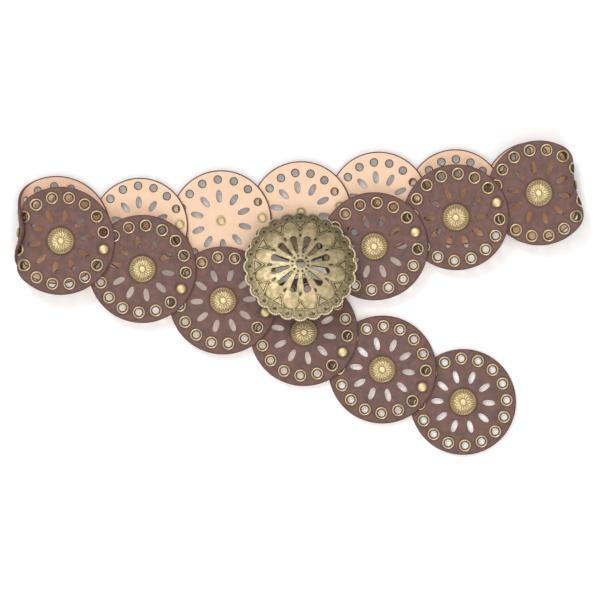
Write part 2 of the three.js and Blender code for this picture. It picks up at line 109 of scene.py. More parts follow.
# Turned profiles as (radius, height) pairs in mm
EYELET = (
    (4.0, 0), (4.0, 0.2), (3.85, 0.42), (3.5, 0.55), (3.15, 0.46), (2.9, 0.2), (2.75, -0.15),
    (2.5, -0.6), (2.32, -1.2), (2.15, -1.85), (2.2, -1.98), (2.52, -1.98), (2.55, -0.02), (4.0, 0),
)
STUD_HEAD = ((3.3, 0), (3.3, 0.28), (3.12, 0.72), (2.6, 1.18), (1.75, 1.5), (0.85, 1.65), (0, 1.7))
BACK_CAP = ((3.3, 0), (3.3, 0.55), (3.12, 0.82), (2.75, 0.88), (2.4, 0.62), (1.3, 0.55), (0, 0.55))
CONCHO_RINGS = (
    (8.7, 0), (8.7, 0.55), (8.55, 1.05), (8.15, 1.55), (7.75, 1.75), (7.55, 1.75), (7.3, 2.1), (6.8, 2.42),
    (6.1, 2.7), (5.3, 2.93), (4.5, 3.1), (3.6, 3.25), (2.9, 3.33), (2.4, 3.34), (2.1, 3.18), (1.85, 3.34),
    (1.5, 3.46), (0.9, 3.5), (0, 3.5),
)
EYELET_SIDES = 24
RIVET_SIDES = 32
SIDES_PER_RAY = 4

# A centre concho, in mm from its middle: where its rays begin, where every other one stops and where they
# end, its light boss and the dark ring round it
RAY_START, RAY_FORK, RAY_END = 2.0, 5.0, 7.6
BOSS, BOSS_RING = 1.95, 2.6
# The painted shade in the throat of an eyelet: within this radius, and up to this height over the leather, in
# mm
THROAT_SHADE_RADIUS, THROAT_SHADE_HEIGHT = 3.1, 0.5
# Where a rivet has painted shade, in mm from its middle: a cap's groove, a cap's edge and a head's edge
CAP_GROOVE_START, CAP_GROOVE_END, CAP_EDGE, HEAD_EDGE = 1.9, 2.6, 3.2, 3.1
CAP_RADIUS = BACK_CAP[0][0]
# In the hollow of a fold a rivet's cap is sunk and its head lifted by this, in mm
CAP_SINK, HEAD_LIFT = 0.3, 0.15

# The sheet of the buckle's tab, and its underside over the middle of the first disc's leather, in mm
TAB_SHEET, TAB_BOTTOM = 1.2, 1.6


# Settings of the add-on

def size_of(name, default, description, unit="LENGTH"):
    return FloatProperty(name=name, default=default, description=description, unit=unit)


def colour_of(name, default, description):
    return FloatVectorProperty(name=name, default=default, description=description, subtype="COLOR")


class BeltLeather(bpy.types.PropertyGroup):
    """Sizes and colours of the leather discs"""

    radius: size_of("Disc radius", 0.035, "From the middle of a disc to its rim")
    thickness: size_of("Leather", 0.002, "Thickness of the leather")
    place_radius: size_of("Place radius", 0.0282, "The circle that rivets and eyelets sit on")
    petal_radius: size_of("Petal radius", 0.017, "From the middle of a disc to a petal slot's middle")
    petal_length: size_of("Petal length", 0.0084, "Length of a petal slot")
    petal_width: size_of("Petal width", 0.0037, "Width of a petal slot")
    punch_radius: size_of("Punch radius", 0.0026, "Radius of the hole that takes an eyelet")
    edge_width: size_of("Edge width", 0.0008, "Width of the rounded and painted edge")
    face_colour: colour_of("Face", (0.177, 0.1035, 0.087), "Colour of the finished side")
    back_colour: colour_of("Back", (0.85, 0.615, 0.438), "Colour of the raw side")
    edge_colour: colour_of("Edge", (0.14, 0.072, 0.062), "Colour of the painted edge")


class BeltMetal(bpy.types.PropertyGroup):
    """Sizes and colours of the rivets and eyelets"""

    flutes: IntProperty(name="Rays", description="Rays round a centre concho", default=28, min=8)
    flute_depth: size_of("Ray depth", 0.00045, "Depth between two rays")
    brass_colour: colour_of("Brass", (0.8, 0.625, 0.34), "Colour of the centre conchos and studs")
    eyelet_colour: colour_of("Eyelets", (0.6, 0.47, 0.275), "Colour of the eyelets")


class BeltBuckle(bpy.types.PropertyGroup):
    """Place, sizes and colours of the buckle concho"""

    place: FloatVectorProperty(
        name="Place", description="Middle of the rim plane", subtype="TRANSLATION",
        default=(0.000833, 0.019751, 0.021422),
    )
    tilt: FloatProperty(
        name="Tilt", description="How far its lower side in plan is raised", subtype="ANGLE",
        default=math.radians(17),
    )
    radius: size_of("Radius", 0.0369, "From the middle to the tip of a scallop")
    dome: size_of("Dome", 0.007, "Height of the dome over its rim")
    sheet: size_of("Sheet", 0.0015, "Thickness of the metal")
    light_colour: colour_of("Worn metal", (0.5, 0.415, 0.235), "Colour of the raised parts")
    # The dark colour, for the patina and for the painted shade
    dark_colour: colour_of("Patina", (0.07, 0.06, 0.035), "Colour of the recesses")


class BeltStage(bpy.types.PropertyGroup):
    """The floor, the camera and the lights"""

    floor_colour: colour_of("Floor", (0.98, 0.98, 0.98), "Colour of the floor")
    floor_glow: FloatProperty(
        name="Floor glow", description="How much the floor shines by itself", default=0.1
    )
    view_width: size_of("View width", 0.3888, "Width of the view on the floor")
    view_height: size_of("Camera height", 6.0, "Height of the camera over the floor")
    sky_power: size_of("Overhead light", 330.0, "Power of the wide soft light overhead", "POWER")
    key_power: size_of("Key light", 62.0, "Power of the smaller soft light", "POWER")
    fill_power: size_of("Fill light", 58.0, "Power of the soft light from the near side", "POWER")
    surround: FloatProperty(name="Surround", description="Strength of the light from all round", default=0.34)


# Shared steps of the modelling

def alone(piece):
    """Makes one object the only selected one and the active one."""
    bpy.ops.object.select_all(action="DESELECT")
    piece.select_set(True)
    bpy.context.view_layer.objects.active = piece


def named(name):
    """Names the active object and its mesh."""
    piece = bpy.context.object
    piece.name = name
    piece.data.name = name
    return piece


def copied(piece, place):
    """A copy with its own mesh, with its place in the mesh."""
    copy = piece.copy()
    copy.data = piece.data.copy()
    bpy.context.scene.collection.objects.link(copy)
    copy.data.transform(place)
    return copy


def joined(pieces, name):
    alone(pieces[0])
    for piece in pieces[1:]:
        piece.select_set(True)
    if len(pieces) > 1:
        bpy.ops.object.join()
    return named(name)


def removed(*pieces):
    for piece in pieces:
        bpy.data.objects.remove(piece)


def modified(piece, kind, **settings):
    """Adds a modifier and applies it."""
    alone(piece)
    modifier = piece.modifiers.new(kind.title(), kind)
    for key, value in settings.items():
        setattr(modifier, key, value)
    bpy.ops.object.modifier_apply(modifier=modifier.name)
    return piece


def cut_out(piece, cutters):
    """Cuts the cutters out of a piece and removes them."""
    cutter = joined(cutters, "cutter")
    modified(piece, "BOOLEAN", operation="DIFFERENCE", solver="EXACT", object=cutter)
    removed(cutter)


def smoothed(piece, degrees=30):
    alone(piece)
    bpy.ops.object.shade_smooth_by_angle(angle=math.radians(degrees))
    return piece


def bar(name, sides, radius, depth):
    """A bar round the Z axis, with its middle at the origin."""
    bpy.ops.object.select_all(action="DESELECT")
    bpy.ops.mesh.primitive_cylinder_add(vertices=sides, radius=radius, depth=depth)
    return named(name)


def turned(name, profile, sides, lift=0.0):
    """A round piece drawn up ring by ring. A profile that ends where it starts closes on itself."""
    closes = profile[0] == profile[-1]
    bpy.ops.object.select_all(action="DESELECT")
    (radius, height), rest = profile[0], profile[1:]
    fill = "NOTHING" if closes else "NGON"
    bpy.ops.mesh.primitive_circle_add(vertices=sides, radius=radius * MM, fill_type=fill)
    piece = named(name)
    bpy.ops.object.mode_set(mode="EDIT")
    bpy.ops.mesh.select_all(action="SELECT")
    bpy.ops.transform.translate(value=(0, 0, (height + lift) * MM))
    for next_radius, next_height in rest:
        rise = (0, 0, (next_height - height) * MM)
        bpy.ops.mesh.extrude_edges_move(TRANSFORM_OT_translate={"value": rise})
        centre = (0, 0, (next_height + lift) * MM)
        if next_radius:
            share = next_radius / radius
            bpy.ops.transform.resize(value=(share, share, 1), center_override=centre)
        else:
            bpy.ops.mesh.merge(type="CENTER")
        radius, height = next_radius, next_height
    bpy.ops.mesh.select_all(action="SELECT")
    bpy.ops.mesh.remove_doubles(threshold=0.00001)
    bpy.ops.mesh.normals_make_consistent(inside=False)
    bpy.ops.object.mode_set(mode="OBJECT")
    return piece


def finished(piece, slot, *nodes):
    """Hands a piece over: attaches it to its body and hides the solids that it stands for. slot is not used.
    """
    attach(piece, "root")
    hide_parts(*nodes)


# Where the discs lie

def disc_frame(disc):
    """X points along the slope and Z out of the disc's face."""
    along, slope = math.radians(disc.along), math.radians(disc.slope)
    x = Vector((math.cos(along) * math.cos(slope), math.sin(along) * math.cos(slope), math.sin(slope)))
    aside = Vector((-math.sin(along), math.cos(along), 0))
    z = x.cross(aside) * disc.face
    y = z.cross(x)
    turn = Matrix((x, y, z)).transposed().to_4x4()
    return Matrix.Translation(Vector((disc.x, disc.y, disc.z)) * MM) @ turn


def rivet_turn(disc):
    """The direction of the far rivet in the disc's own frame, in degrees."""
    return disc.face * (disc.heading - disc.along)


def bent(bend, x, y, height):
    """A point of the flat disc, in mm, carried round its fold, and the angle that it is turned by."""
    start = bend.start + WAIST_DEPTH * (1 - math.exp(-(((y - bend.rivet) / WAIST_WIDTH) ** 2)))
    if x <= start:
        return Vector((x, y, height)), 0.0
    angle = (x - start) / bend.radius
    reach = bend.radius + height
    return Vector((start + reach * math.sin(angle), y, reach * math.cos(angle) - bend.radius)), angle


def carried(piece, bend):
    """Carries a whole piece round a fold."""
    for vertex in piece.data.vertices:
        point, _ = bent(bend, *(vertex.co / MM))
        vertex.co = point * MM


def round_place(radius, degrees, height=0.0):
    """A place on a circle round the Z axis, with X outwards."""
    turn = Matrix.Rotation(math.radians(degrees), 4, "Z")
    return turn @ Matrix.Translation((radius, 0, height))


def rivet_place(number, end):
    """The frame of a disc's far (1) or near (-1) rivet at the middle of the leather, in the belt's frame."""
    disc, bend = DISCS[number - 1], BENDS.get(number)
    leather = bpy.context.scene.belt_leather
    spot = round_place(leather.place_radius * disc.place * end, rivet_turn(disc)).translation
    if not bend:
        return disc_frame(disc) @ Matrix.Translation(spot)
    point, angle = bent(bend, *(spot / MM))
    return disc_frame(disc) @ Matrix.Translation(point * MM) @ Matrix.Rotation(angle, 4, "Y")


def joint_place(number):
    """The frame midway between a disc and the next one, at the rivet that joins them."""
    one, two = rivet_place(number, 1), rivet_place(number + 1, -1)
    middle = (one.translation + two.translation) / 2
    z = (one.col[2].xyz + two.col[2].xyz).normalized()
    x = one.col[0].xyz
    y = z.cross(x).normalized()
    turn = Matrix((y.cross(z), y, z)).transposed().to_4x4()
    return Matrix.Translation(middle) @ turn


# Finishes

# The sides of the leather. colour: its setting. low and high: the two tints that it drifts between, as
# shares of that. grain: how fine its grain is. strength: how deep.
Leather = namedtuple("Leather", "colour low high roughness grain strength")
LEATHERS = {
    "grained_leather": Leather("face_colour", (0.72, 0.78, 0.88), (1.3, 1.22, 1.18), 0.62, 1500, 0.25),
    "raw_leather": Leather("back_colour", (1.0, 0.94, 0.9), (1.04, 1.04, 1.06), 0.85, 2200, 0.18),
    "painted_edge": Leather("edge_colour", (0.8, 0.8, 0.8), (1.3, 1.3, 1.3), 0.5, 900, 0.2),
}
# The metals. colour: the setting, or none for the buckle's worn metal. dark: the patina and the painted
# shade, as a share of it. blotches: the patina that lies in blotches.
Metal = namedtuple("Metal", "colour low high dark roughness metallic blotches")
METALS = {
    "bright_brass": Metal("brass_colour", (0.85, 0.84, 0.8), (1.1, 1.1, 1.1), 0.2, 0.42, 0.65, 0),
    "eyelet_brass": Metal("eyelet_colour", (0.9, 0.88, 0.84), (1.08, 1.06, 1.06), 0.12, 0.34, 0.75, 0),
    # The beads: partly rubbed bright metal, partly a painted highlight
    "bright_edge": Metal(None, (1.75, 1.8, 2.2), (2.0, 2.0, 2.5), 0, 0.35, 0.35, 0),
    "worn_brass": Metal(None, (0.6, 0.6, 0.54), (1.36, 1.27, 1.28), 0, 0.45, 0.7, 0.22),
}
# Noises as (scale, detail, roughness)
LEATHER_DRIFT = (200, 6, 0.7)
METAL_DRIFT = (260, 4, 0.65)
PATINA_DRIFT = (800, 4, 0.7)
PATINA_BLOTCHES = (430, 5, 0.7)
# The part of a noise that a drift goes through
DRIFT_START, DRIFT_END = 0.3, 0.7
# The scales of plain noises. The second makes the leather's painted shade uneven.
LEATHER_SHEEN, SHADE_DRIFT, METAL_SHEEN, METAL_GRAIN, FLOOR_DRIFT = 500, 350, 420, 1500, 3
# Painted shade round the fittings and at the rim: its share at the start and end of a stretch, and where that
# starts and ends, in mm from a place or from the disc's middle
PLACE_SHADE = (0.85, 0.0, 4.0, 5.4)
CONCHO_SHADE = (1.0, 0.0, 8.7, 10.6)
RIM_SHADE = (0.0, 0.5, 33.0, 35.0)
# The tint of the painted shade on the leather's face
SHADE_TINT = (0.42, 0.44, 0.36)
BUMP_DEPTH = 0.0002
# The Mix node's sockets for colours
MIX_SHARE, MIX_ONE, MIX_TWO, MIX_RESULT = 0, 6, 7, 2


class Finish:
    """A material's nodes, with short calls for what the finishes share."""

    def __init__(self, name):
        self.material = bpy.data.materials.new(name)
        self.material.use_nodes = True
        self.tree = self.material.node_tree
        self.shader = self.tree.nodes["Principled BSDF"]

    def feed(self, node, key, value):
        """Gives a socket its value, or links it to the socket that gives it."""
        if isinstance(value, bpy.types.NodeSocket):
            self.tree.links.new(value, node.inputs[key])
        else:
            node.inputs[key].default_value = value

    def add(self, kind, sockets=None, **settings):
        node = self.tree.nodes.new("ShaderNode" + kind)
        for key, value in settings.items():
            setattr(node, key, value)
        for key, value in (sockets or {}).items():
            self.feed(node, key, value)
        return node

    def put(self, key, value):
        self.feed(self.shader, key, value)

    def spots(self, scale, detail=3.0, roughness=0.55):
        sockets = {"Scale": scale, "Detail": detail, "Roughness": roughness}
        sockets["Vector"] = self.add("TexCoord").outputs["Object"]
        return self.add("TexNoise", sockets).outputs["Fac"]

    def cells(self, scale):
        where = self.add("TexCoord").outputs["Object"]
        return self.add("TexVoronoi", {"Vector": where, "Scale": scale}).outputs["Distance"]

    def between(self, share, low, high):
        """A colour that goes from low to high as a noise drifts."""
        ramp = self.add("ValToRGB", {"Fac": share})
        for stop, place, colour in zip(ramp.color_ramp.elements, (DRIFT_START, DRIFT_END), (low, high)):
            stop.position, stop.color = place, (*colour, 1)
        return ramp.outputs["Color"]

    def mixed(self, share, one, two):
        """A colour that goes from a socket's to a fixed one as the share goes from 0 to 1."""
        sockets = {MIX_SHARE: share, MIX_ONE: one, MIX_TWO: (*two, 1)}
        return self.add("Mix", sockets, data_type="RGBA").outputs[MIX_RESULT]

    def ranged(self, share, low, high, start=DRIFT_START, end=DRIFT_END):
        """A value that goes from low to high as the share goes from start to end."""
        sockets = {"Value": share, "From Min": start, "From Max": end, "To Min": low, "To Max": high}
        return self.add("MapRange", sockets).outputs["Result"]

    def reckoned(self, operation, one, two=0.0):
        return self.add("Math", {0: one, 1: two}, operation=operation).outputs["Value"]

    def span(self, one, two):
        """The length of the slope over two legs at right angles."""
        squares = [self.reckoned("POWER", leg, 2.0) for leg in (one, two)]
        return self.reckoned("SQRT", self.reckoned("ADD", *squares))

    def painted_shade(self, place_radius):
        """How much painted shade the leather has, from 0 to 1: round its fittings and at its rim."""
        flat = self.add("Attribute", attribute_name="flat").outputs["Vector"]
        spot = self.add("SeparateXYZ", {"Vector": flat})
        x, y = spot.outputs["X"], spot.outputs["Y"]
        radius = self.span(x, y)
        turn = self.reckoned("PINGPONG", self.reckoned("ARCTAN2", y, x), math.pi / PLACES)
        aside = self.reckoned("MULTIPLY", turn, place_radius)
        off = self.reckoned("SUBTRACT", radius, place_radius)
        at_place = self.ranged(self.span(aside, off), *PLACE_SHADE)
        at_concho = self.ranged(radius, *CONCHO_SHADE)
        at_rim = self.ranged(radius, *RIM_SHADE)
        return self.reckoned("MAXIMUM", self.reckoned("MAXIMUM", at_place, at_concho), at_rim)

    def bumped(self, height, strength):
        sockets = {"Height": height, "Strength": strength, "Distance": BUMP_DEPTH}
        return self.add("Bump", sockets).outputs["Normal"]


def tinted(colour, tint):
    return tuple(min(1.0, part * share) for part, share in zip(colour, tint))


def leather_finish(name, leather):
    """Leather with a fine grain. Its finished side has painted shade round its fittings and at its rim."""
    look = LEATHERS[name]
    colour = tuple(getattr(leather, look.colour))
    finish = Finish(name)
    drift = finish.spots(*LEATHER_DRIFT)
    mottled = finish.between(drift, tinted(colour, look.low), tinted(colour, look.high))
    if name == "grained_leather":
        # Painted shade round the fittings and at the rim, made uneven by noise
        uneven = finish.ranged(finish.spots(SHADE_DRIFT), 0.3, 0.75)
        share = finish.reckoned("MULTIPLY", finish.painted_shade(leather.place_radius / MM), uneven)
        mottled = finish.mixed(share, mottled, tinted(colour, SHADE_TINT))
    sheen = finish.spots(LEATHER_SHEEN)
    finish.put("Base Color", mottled)
    finish.put("Roughness", finish.ranged(sheen, look.roughness - 0.08, look.roughness + 0.08))
    finish.put("Specular IOR Level", 0.12)
    finish.put("Normal", finish.bumped(finish.cells(look.grain), look.strength))
    return finish.material


def metal_finish(name, metal, buckle):
    """Metal that goes dark where its patina and its painted shade lie, and in blotches if it has any."""
    look = METALS[name]
    colour, dark = tuple(buckle.light_colour), tuple(buckle.dark_colour)
    if look.colour:
        colour = tuple(getattr(metal, look.colour))
        dark = tinted(colour, [look.dark] * 3)
    finish = Finish(name)
    drift = finish.spots(*METAL_DRIFT)
    worn = finish.between(drift, tinted(colour, look.low), tinted(colour, look.high))
    share = finish.add("Attribute", attribute_name="patina").outputs["Fac"]
    if look.blotches:
        uneven = finish.ranged(finish.spots(*PATINA_DRIFT), 0.6, 1.3, 0.35, 0.65)
        blotch = finish.spots(*PATINA_BLOTCHES)
        blotch = finish.ranged(blotch, -0.4 * look.blotches, look.blotches, 0.38, 0.66)
        share = finish.reckoned("ADD", finish.reckoned("MULTIPLY", share, uneven), blotch)
    sheen = finish.spots(METAL_SHEEN)
    finish.put("Base Color", finish.mixed(share, worn, dark))
    finish.put("Metallic", look.metallic)
    finish.put("Roughness", finish.ranged(sheen, look.roughness - 0.07, look.roughness + 0.09))
    finish.put("Normal", finish.bumped(finish.spots(METAL_GRAIN), 0.12))
    return finish.material


def finish_of(name):
    """A finish by name, made when it is first asked for."""
    made, scene = bpy.data.materials.get(name), bpy.context.scene
    if made:
        return made
    if name in METALS:
        return metal_finish(name, scene.belt_metal, scene.belt_buckle)
    return leather_finish(name, scene.belt_leather)


def darkened(piece, share):
    """Stores how dark each point is, from 0 to 1, as patina and painted shade. share is given the point's
    index and place.
    """
    layer = piece.data.attributes.get("patina") or piece.data.attributes.new("patina", "FLOAT", "POINT")
    for index, vertex in enumerate(piece.data.vertices):
        layer.data[index].value = share(index, vertex.co)


def cap_shade(index, at):
    """Painted shade in the groove and at the edge of a back cap."""
    radius = at.xy.length / MM
    return 0.65 if CAP_GROOVE_START < radius < CAP_GROOVE_END or radius > CAP_EDGE else 0.32


class BELT_OT_leather_discs(bpy.types.Operator):
    """Punches the leather discs and lays them out"""

    bl_idname = "belt.leather_discs"
    bl_label = "Leather discs"

    def execute(self, context):
        leather = context.scene.belt_leather
        petal = self.petal_punch(leather)
        punch = bar("eyelet_punch", PUNCH_SIDES, leather.punch_radius, PUNCH_DEPTH)
        for number, disc in enumerate(DISCS, 1):
            self.make_disc(number, disc, leather, petal, punch)
        removed(petal, punch)
        return {"FINISHED"}

    def petal_punch(self, leather):
        """A blunt oval bar: a narrow oval whose two halves are drawn apart."""
        side = leather.petal_width / 2
        punch = bar("petal_punch", PETAL_SIDES, side, PUNCH_DEPTH)
        apart = leather.petal_length / 2 - side * PETAL_STRETCH
        for vertex in punch.data.vertices:
            vertex.co.x = vertex.co.x * PETAL_STRETCH + math.copysign(apart, vertex.co.x)
        return punch

    def make_disc(self, number, disc, leather, petal, punch):
        piece = bar(f"belt_leather_{number:02d}", DISC_SIDES, leather.radius * disc.size, leather.thickness)
        modified(piece, "BEVEL", width=leather.edge_width, segments=3)
        turn = rivet_turn(disc)
        cutters = []
        for i in range(PETALS):
            place = round_place(leather.petal_radius * disc.size, turn + PETAL_TURN + i * 360 / PETALS)
            cutters.append(copied(petal, place @ Matrix.Scale(disc.size, 4)))
        for degrees in eyelet_turns(number, disc):
            cutters.append(copied(punch, round_place(leather.place_radius * disc.place, degrees)))
        cut_out(piece, cutters)
        modified(piece, "BEVEL", width=CUT_BEVEL, segments=2, limit_method="ANGLE", angle_limit=CUT_ANGLE)
        self.dress(piece, leather.radius * disc.size - leather.edge_width)
        self.store_flat(piece, disc)
        if number in BENDS:
            self.fold(piece, BENDS[number], leather.radius / MM)
        smoothed(piece)
        piece.data.transform(disc_frame(disc))
        slot = "leather_face" if disc.face > 0 else "leather_back"
        finished(piece, slot, f"leather_disc_{number:02d}")

    def dress(self, piece, inside):
        """Gives the face, the back and the painted edges their finishes."""
        piece.data.materials.clear()
        for name in ("grained_leather", "raw_leather", "painted_edge"):
            piece.data.materials.append(finish_of(name))
        for face in piece.data.polygons:
            painted = abs(face.normal.z) < FLAT_NORMAL or face.center.xy.length > inside
            face.material_index = 2 if painted else 0 if face.normal.z > 0 else 1

    def store_flat(self, piece, disc):
        """Stores where each point of the unbent leather lies, in mm, scaled to the usual place radius."""
        flat = piece.data.attributes.new("flat", "FLOAT_VECTOR", "POINT")
        unturned = Matrix.Rotation(-math.radians(rivet_turn(disc)), 4, "Z")
        for index, vertex in enumerate(piece.data.vertices):
            flat.data[index].vector = unturned @ vertex.co / MM / disc.place

    def fold(self, piece, bend, radius):
        """Cuts the leather into strips across its bend and carries it round."""
        alone(piece)
        bpy.ops.object.mode_set(mode="EDIT")
        bpy.ops.mesh.select_all(action="SELECT")
        bpy.ops.mesh.quads_convert_to_tris()
        across = int((radius - bend.start) / BEND_STEP) + 1
        planes = [((bend.start + i * BEND_STEP, 0), (1, 0, 0)) for i in range(across)]
        aside = int(radius / WAIST_STEP)
        planes += [((0, i * WAIST_STEP), (0, 1, 0)) for i in range(-aside, aside + 1)]
        for (x, y), normal in planes:
            bpy.ops.mesh.select_all(action="SELECT")
            bpy.ops.mesh.bisect(plane_co=(x * MM, y * MM, 0), plane_no=normal)
        bpy.ops.object.mode_set(mode="OBJECT")
        carried(piece, bend)


def eyelet_turns(number, disc):
    """The directions of the eyelets in a disc's own frame. The link rivets take the other places."""
    step = 360 / PLACES
    skipped = {PLACES // 2} if number == len(DISCS) else {0, PLACES // 2}
    return [rivet_turn(disc) + i * step for i in range(PLACES) if i not in skipped]


class BELT_OT_eyelets(bpy.types.Operator):
    """Sets the eyelets in the rims of the discs"""

    bl_idname = "belt.eyelets"
    bl_label = "Eyelets"

    def execute(self, context):
        leather = context.scene.belt_leather
        middle = leather.thickness / 2 / MM
        eyelet = turned("eyelet", EYELET, EYELET_SIDES, lift=middle)

        def patina(index, at):
            """Painted shade in the throat; the rim that stands over the leather stays bright."""
            throat = at.xy.length < THROAT_SHADE_RADIUS * MM and at.z < (middle + THROAT_SHADE_HEIGHT) * MM
            return 0.95 if throat else 0.06

        darkened(eyelet, patina)
        for number, disc in enumerate(DISCS, 1):
            radius, turns = leather.place_radius * disc.place, eyelet_turns(number, disc)
            eyelets = [copied(eyelet, round_place(radius, turn)) for turn in turns]
            piece = joined(eyelets, f"eyelets_{number:02d}")
            if number in BENDS:
                carried(piece, BENDS[number])
            smoothed(piece, 50)
            piece.data.transform(disc_frame(disc))
            piece.data.materials.append(finish_of("eyelet_brass"))
            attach(piece, "root")
        removed(eyelet)
        return {"FINISHED"}


class BELT_OT_centre_conchos(bpy.types.Operator):
    """Makes the rayed dome in the middle of each disc, with its cap on the back"""

    bl_idname = "belt.centre_conchos"
    bl_label = "Centre conchos"

    def execute(self, context):
        seat = context.scene.belt_leather.thickness / 2 / MM
        dome = self.rayed_dome(context.scene.belt_metal, seat)
        cap = turned("centre_cap", BACK_CAP, RIVET_SIDES)
        darkened(cap, cap_shade)
        cap.data.transform(Matrix.Translation((0, 0, -seat * MM)) @ Matrix.Rotation(math.pi, 4, "X"))
        concho = smoothed(joined([dome, cap], "centre_concho"), 40)
        concho.data.materials.append(finish_of("bright_brass"))
        for number, disc in enumerate(DISCS, 1):
            turn = Matrix.Rotation(math.radians(rivet_turn(disc)), 4, "Z")
            piece = copied(concho, disc_frame(disc) @ turn)
            piece.name = piece.data.name = f"sunburst_{number:02d}"
            finished(piece, "brass", f"centre_concho_{number:02d}")
        removed(concho)
        return {"FINISHED"}

    def rayed_dome(self, metal, seat):
        dome = turned("centre_dome", CONCHO_RINGS, metal.flutes * SIDES_PER_RAY, lift=seat)
        inner, outer = RAY_START * MM, RAY_END * MM

        def ray(at):
            """How far a point of the dome sinks between two rays, from 0 to 1."""
            if not inner < at.xy.length < outer:
                return 0.0
            rays = metal.flutes if at.xy.length > RAY_FORK * MM else metal.flutes / 2
            return 0.5 - 0.5 * math.cos(math.atan2(at.y, at.x) * rays)

        def patina(index, at):
            """A light boss in a dark ring, rays that darken outwards, and a dull rim."""
            radius = at.xy.length / MM
            if radius < BOSS_RING:
                return 0.55 if radius > BOSS else 0.04
            return 0.42 if radius > RAY_END else sunk[index] ** 1.3 * (0.45 + 0.05 * radius)

        sunk = [ray(vertex.co) for vertex in dome.data.vertices]
        for vertex, share in zip(dome.data.vertices, sunk):
            depth = metal.flute_depth * share * (0.45 + 0.55 * vertex.co.xy.length / outer)
            vertex.co -= Vector((vertex.co.x * 0.4, vertex.co.y * 0.4, outer)).normalized() * depth
        darkened(dome, patina)
        return dome


class BELT_OT_link_rivets(bpy.types.Operator):
    """Sets the domed rivets that join each disc to the next"""

    bl_idname = "belt.link_rivets"
    bl_label = "Link rivets"

    def execute(self, context):
        thickness = context.scene.belt_leather.thickness / MM
        head = smoothed(turned("stud_head", STUD_HEAD, RIVET_SIDES), 40)
        cap = turned("stud_cap", BACK_CAP, RIVET_SIDES)
        # Painted shade round the edge of a stud's head
        darkened(head, lambda i, at: 0.6 if at.xy.length > HEAD_EDGE * MM else 0.15)
        darkened(cap, cap_shade)
        cap.data.transform(Matrix.Rotation(math.pi, 4, "X"))
        smoothed(cap, 40)
        for number in range(len(DISCS)):
            place = joint_place(number) if number else rivet_place(1, -1)
            top, bottom = self.heights(number, thickness)
            ends = ((head, top), (cap, bottom))
            parts = [copied(end, place @ Matrix.Translation((0, 0, height * MM))) for end, height in ends]
            piece = joined(parts, f"link_stud_{number:02d}")
            piece.data.materials.append(finish_of("bright_brass"))
            finished(piece, "brass", f"link_rivet_{number:02d}")
        removed(head, cap)
        return {"FINISHED"}

    def heights(self, number, thickness):
        """The heights of a rivet's head and cap over its place, in mm. The first goes through the tab."""
        if number == 0:
            return thickness / 2 + LEAF_GAP + TAB_SHEET, -thickness / 2
        pair = thickness + LEAF_GAP / 2
        if not (number in BENDS and number + 1 in BENDS):
            return pair, -pair
        hollow = min(BENDS[number].radius, BENDS[number + 1].radius) - thickness / 2
        sag = hollow - math.sqrt(hollow**2 - CAP_RADIUS**2)
        return pair + HEAD_LIFT, -pair - (sag - CAP_SINK)


# The buckle concho's pattern. Radii and widths are in mm, from the middle of the buckle.
SECTORS = 12
SCALLOPS = 24
# The outline between two scallops as a share of that at their tips, and how square a scallop is
NOTCH = 0.925
SCALLOP_POWER = 0.6
# The band along the rim, with a dot in each scallop and a crescent outside the dot
RIM_BAND = 30.4
BAND_GROOVE = 0.6
DOT_RING, DOT_RADIUS = 32.9, 1.0
CRESCENT_START, CRESCENT_END, CRESCENT_REACH = 2.45, 3.1, 1.2
# The raised lobes, one over each slot
LOBE_START, LOBE_RISE = 18, 6
LOBE_MIDDLE, LOBE_WIDTH, LOBE_LENGTH = 24.5, 5.3, 5.4
# The dash between two lobes, and its half width
DASH_START, DASH_END, DASH_SIDE = 18.7, 21.1, 0.6
# The slots, with painted shade along their walls, and the ring of dots round the middle hole
SLOT_START, SLOT_END = 8.1, 17.3
SLOT_NARROW, SLOT_WIDE = 0.8, 2.05
SLOT_LINE, SLOT_SHADE = 0.22, 0.5
HUB_HOLE, HUB_RIM = 2.7, 3.5
HUB_DOT_RING, HUB_DOT_RADIUS = 5.3, 0.75
# The triangles: their ring, their radii, and how flat they are
TRIANGLE_RING = 27.8
TRIANGLE_GROUND, TRIANGLE_FRAME, TRIANGLE_MIDDLE = 6.5, 5.9, 3.1
TRIANGLE_FLATNESS = 0.81
# The stamped marks: their height in mm and their patina
DOT = -0.75, 1.0
CRESCENT = -0.4, 0.74
BAND = -0.3, 0.46
GROOVE = -0.4, 0.8
DASH = -0.4, 1.0
HUB_DOT = -0.35, 1.0
HUB = 0.15, 0.1
PLAIN = 0.0, 0.0

# The dome: where it ends as a share of the rim's radius, and how full it is
DOME_END = 0.985
DOME_POWER = 1.08
# The plain width outside the pattern, in mm, which gets painted shade, and the share of the radius where the
# scallops begin
EDGE_WIDTH = 0.8
SCALLOP_START = 0.9
# The rings of the face, in mm: close under the relief, then wide, then close at the middle hole. Underneath
# there is one ring for every few of these.
RELIEF_ROWS, RELIEF_STEP = 49, 0.36
FACE_ROWS, FACE_STEP = 18, 0.7
HUB_END, HUB_STEP = 2.9, 0.27
UNDER_ROWS = 8
SHELL_SIDES = 432
# What lies deeper under the face than this, in mm, gets painted shade
SHADED_DEPTH = 0.95
BEADS_PER_SCALLOP = 8
BEAD_RADIUS, BEAD_INSET, BEAD_LIFT = 0.68, 0.6, 0.1


